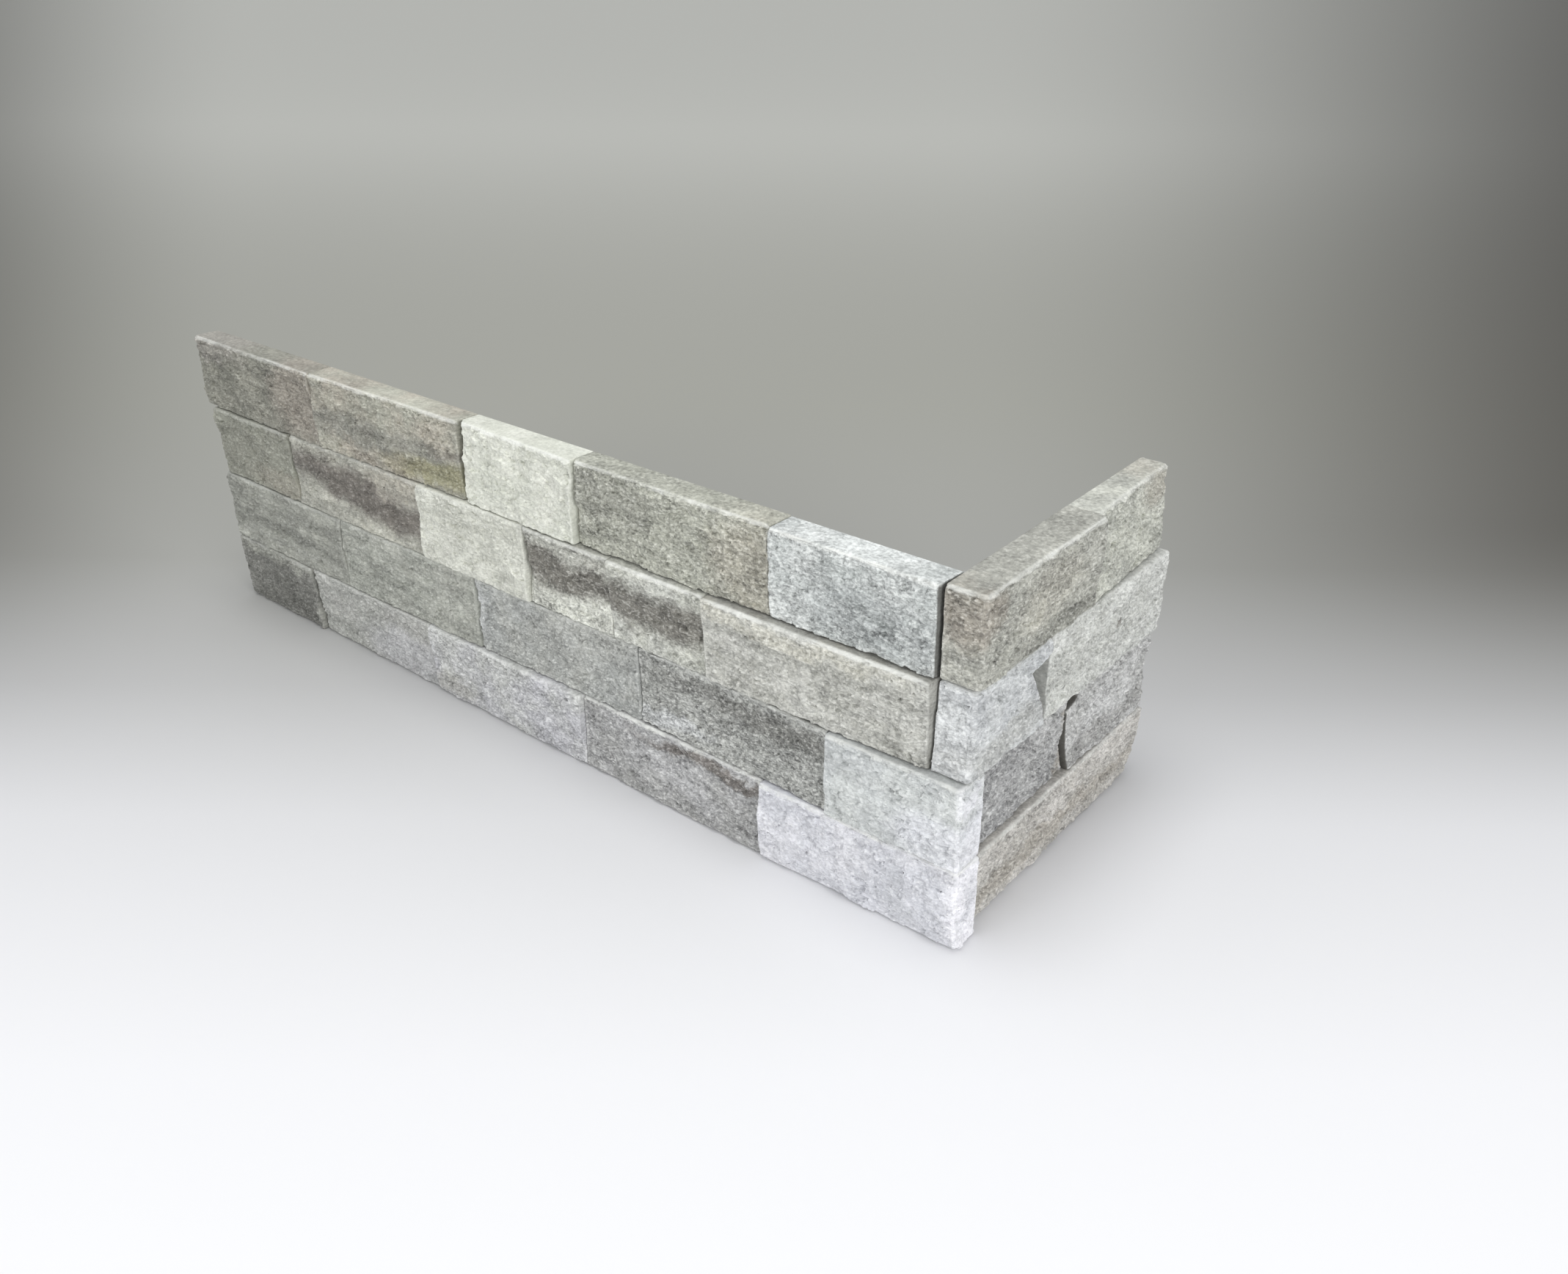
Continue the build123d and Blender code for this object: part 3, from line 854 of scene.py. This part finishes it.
# %% One stone
VOXEL = 0.00056
KEPT_FACES = 0.46
SHARP = math.radians(16)
SAME_POINT = 1e-6
SHAPE_SEED_STEP = 2.71
LONG_FACE = (0.0, -1.0, 0.0)
SHORT_FACE = (1.0, 0.0, 0.0)
SHORT_END = (0.0, 1.0, 0.0)
NO_FACE = (0.0, 0.0, 0.0)
LONG_BACK = (0.0, 1.0, 0.0)
SHORT_BACK = (-1.0, 0.0, 0.0)
FREE_ENDS = ("short_top_1", "short_upper_1", "short_lower_2", "short_base_1")


def merged_copy(node):
    """The node's mesh as one closed skin."""
    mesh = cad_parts[node].data.copy()
    work = bmesh.new()
    work.from_mesh(mesh)
    bmesh.ops.remove_doubles(work, verts=work.verts, dist=SAME_POINT)
    work.to_mesh(mesh)
    work.free()
    mesh.materials.clear()
    return mesh


def other_face(node):
    """The second split face of a stone that has one."""
    if node.startswith("corner"):
        return SHORT_FACE
    return SHORT_END if node in FREE_ENDS else NO_FACE


def broken_mesh(node, settings):
    """The plain mesh of a stone, with its relief and its finish."""
    block = bpy.data.objects.new("block_" + node, merged_copy(node))
    bpy.context.scene.collection.objects.link(block)
    voxels = block.modifiers.new("even_mesh", "REMESH")
    voxels.mode = "VOXEL"
    voxels.voxel_size = VOXEL
    relief = block.modifiers.new("riven_stone", "NODES")
    relief.node_group = RIVEN
    relief[INPUTS["Face"]] = SHORT_FACE if node.startswith("short") else LONG_FACE
    relief[INPUTS["Other Face"]] = other_face(node)
    relief[INPUTS["Back"]] = LONG_BACK if on_long_leg(node) else SHORT_BACK
    relief[INPUTS["Seed"]] = NUMBERS[node] * SHAPE_SEED_STEP
    relief[INPUTS["Finish"]] = quartzite(node, **settings)
    for name, value in SHAPES.get(node, {}).items():
        relief[INPUTS[name]] = value
    fewer = block.modifiers.new("fewer_faces", "DECIMATE")
    fewer.ratio = KEPT_FACES
    mesh = bpy.data.meshes.new_from_object(block.evaluated_get(bpy.context.evaluated_depsgraph_get()))
    mesh.set_sharp_from_angle(angle=SHARP)
    bpy.data.objects.remove(block)
    return mesh


print("one stone ready")

# %% All stones
triangles = {}
for node, settings in STONES.items():
    stone = bpy.data.objects.new("stone_" + node, broken_mesh(node, settings))
    bpy.context.scene.collection.objects.link(stone)
    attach(stone, "root")
    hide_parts(node)
    triangles[node] = sum(len(face.vertices) - 2 for face in stone.data.polygons)
print("stones:", len(triangles), "triangles:", sum(triangles.values()), "most on one:", max(triangles.values()))
